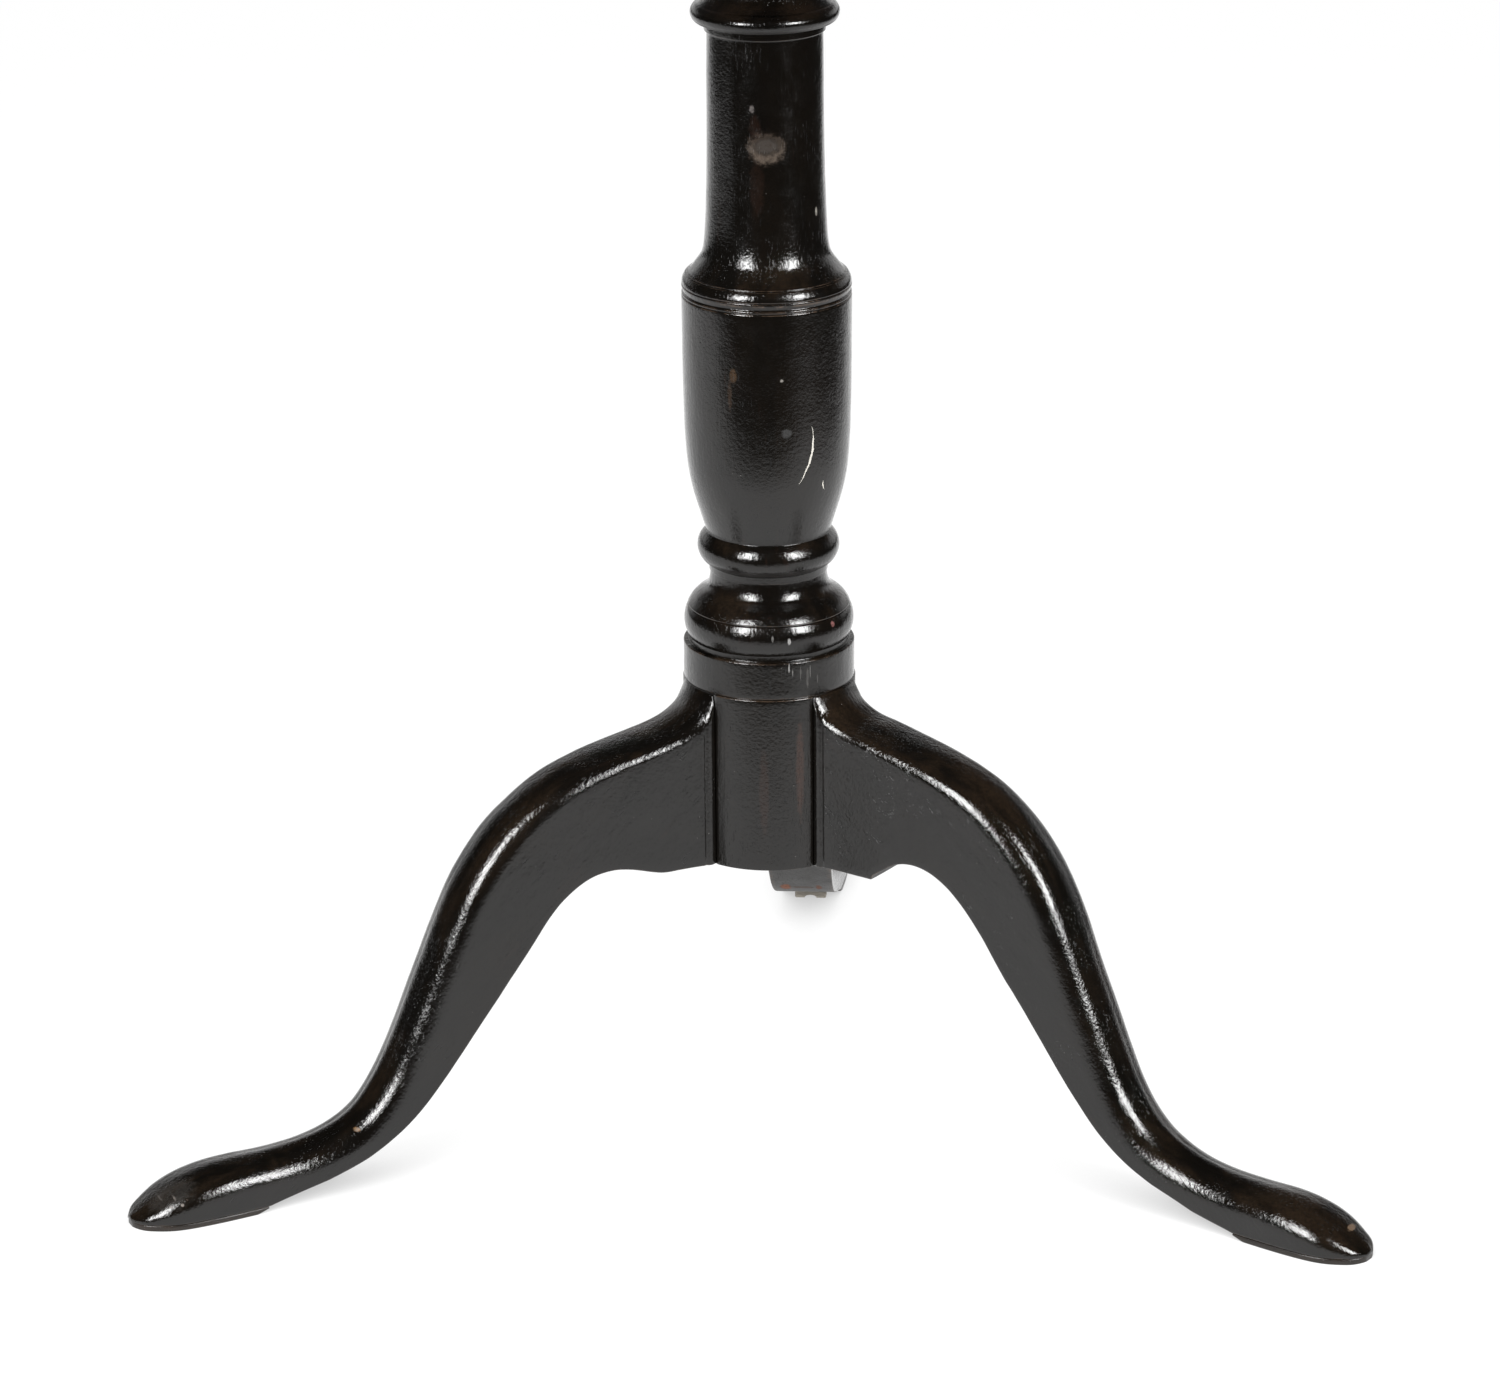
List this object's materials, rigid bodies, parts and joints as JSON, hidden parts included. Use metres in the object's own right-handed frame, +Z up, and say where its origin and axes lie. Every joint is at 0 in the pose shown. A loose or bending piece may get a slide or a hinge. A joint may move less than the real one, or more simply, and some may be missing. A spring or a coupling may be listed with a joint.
{
  "type": "tilt top table",
  "caption": "Tripod table: turned pillar on snake legs, with a round top that tips upright on a pivot block and locks with a sliding brass bolt.",
  "frame": {"origin": "on the floor under the pillar's axis", "axes": "+Z up; +Y towards the rear leg and the catch; +X along the tilt axis, to the right seen from the front"},
  "size_m": [0.76, 0.76, 0.7106],
  "materials": {
    "ebonised_wood": "ebonised and varnished, glossy",
    "stained_wood": "dark stained, rubbed, satin",
    "sole_wood": "dark stained, worn",
    "pale_softwood": "bare, weathered",
    "bare_wood": "bare",
    "wrought_iron": "blacked, dull",
    "iron_fasteners": "dulled",
    "brass": "aged, hand polished",
    "brass_screws": "aged",
    "spring_steel": "dulled"
  },
  "bodies": {
    "stand": {"pillar": "ebonised_wood", "leg_bracket": "wrought_iron", "leg_left": "ebonised_wood", "leg_right": "ebonised_wood", "leg_rear": "ebonised_wood", "foot_pad_left": "sole_wood", "foot_pad_right": "sole_wood", "foot_pad_rear": "sole_wood", "pad_nails": "iron_fasteners", "bracket_screws": "iron_fasteners", "rear_packing_strip": "pale_softwood", "pivot_block": "stained_wood", "tenon_wedge": "bare_wood", "strike_plate": "brass", "strike_screws": "brass_screws"},
    "top": {"top_board_front": "ebonised_wood", "top_board_middle": "ebonised_wood", "top_board_rear": "ebonised_wood", "board_dowels": "bare_wood", "batten_left": "stained_wood", "batten_right": "stained_wood", "batten_screws": "iron_fasteners", "catch_plate": "brass", "catch_staples": "brass", "catch_screws": "brass_screws"},
    "bolt": {"catch_bolt": "brass", "bolt_knob": "brass", "bolt_spring": "spring_steel"}
  },
  "joints": [
    {"name": "top_tilt", "type": "hinge", "parent": "stand", "child": "top", "pos_m": [0, -0.0372, 0.6756], "axis": [1, 0, 0], "range_deg": [0, 90]},
    {"name": "bolt_slide", "type": "slide", "parent": "top", "child": "bolt", "axis": [0, -1, 0], "range_m": [0, 0.011]}
  ]
}
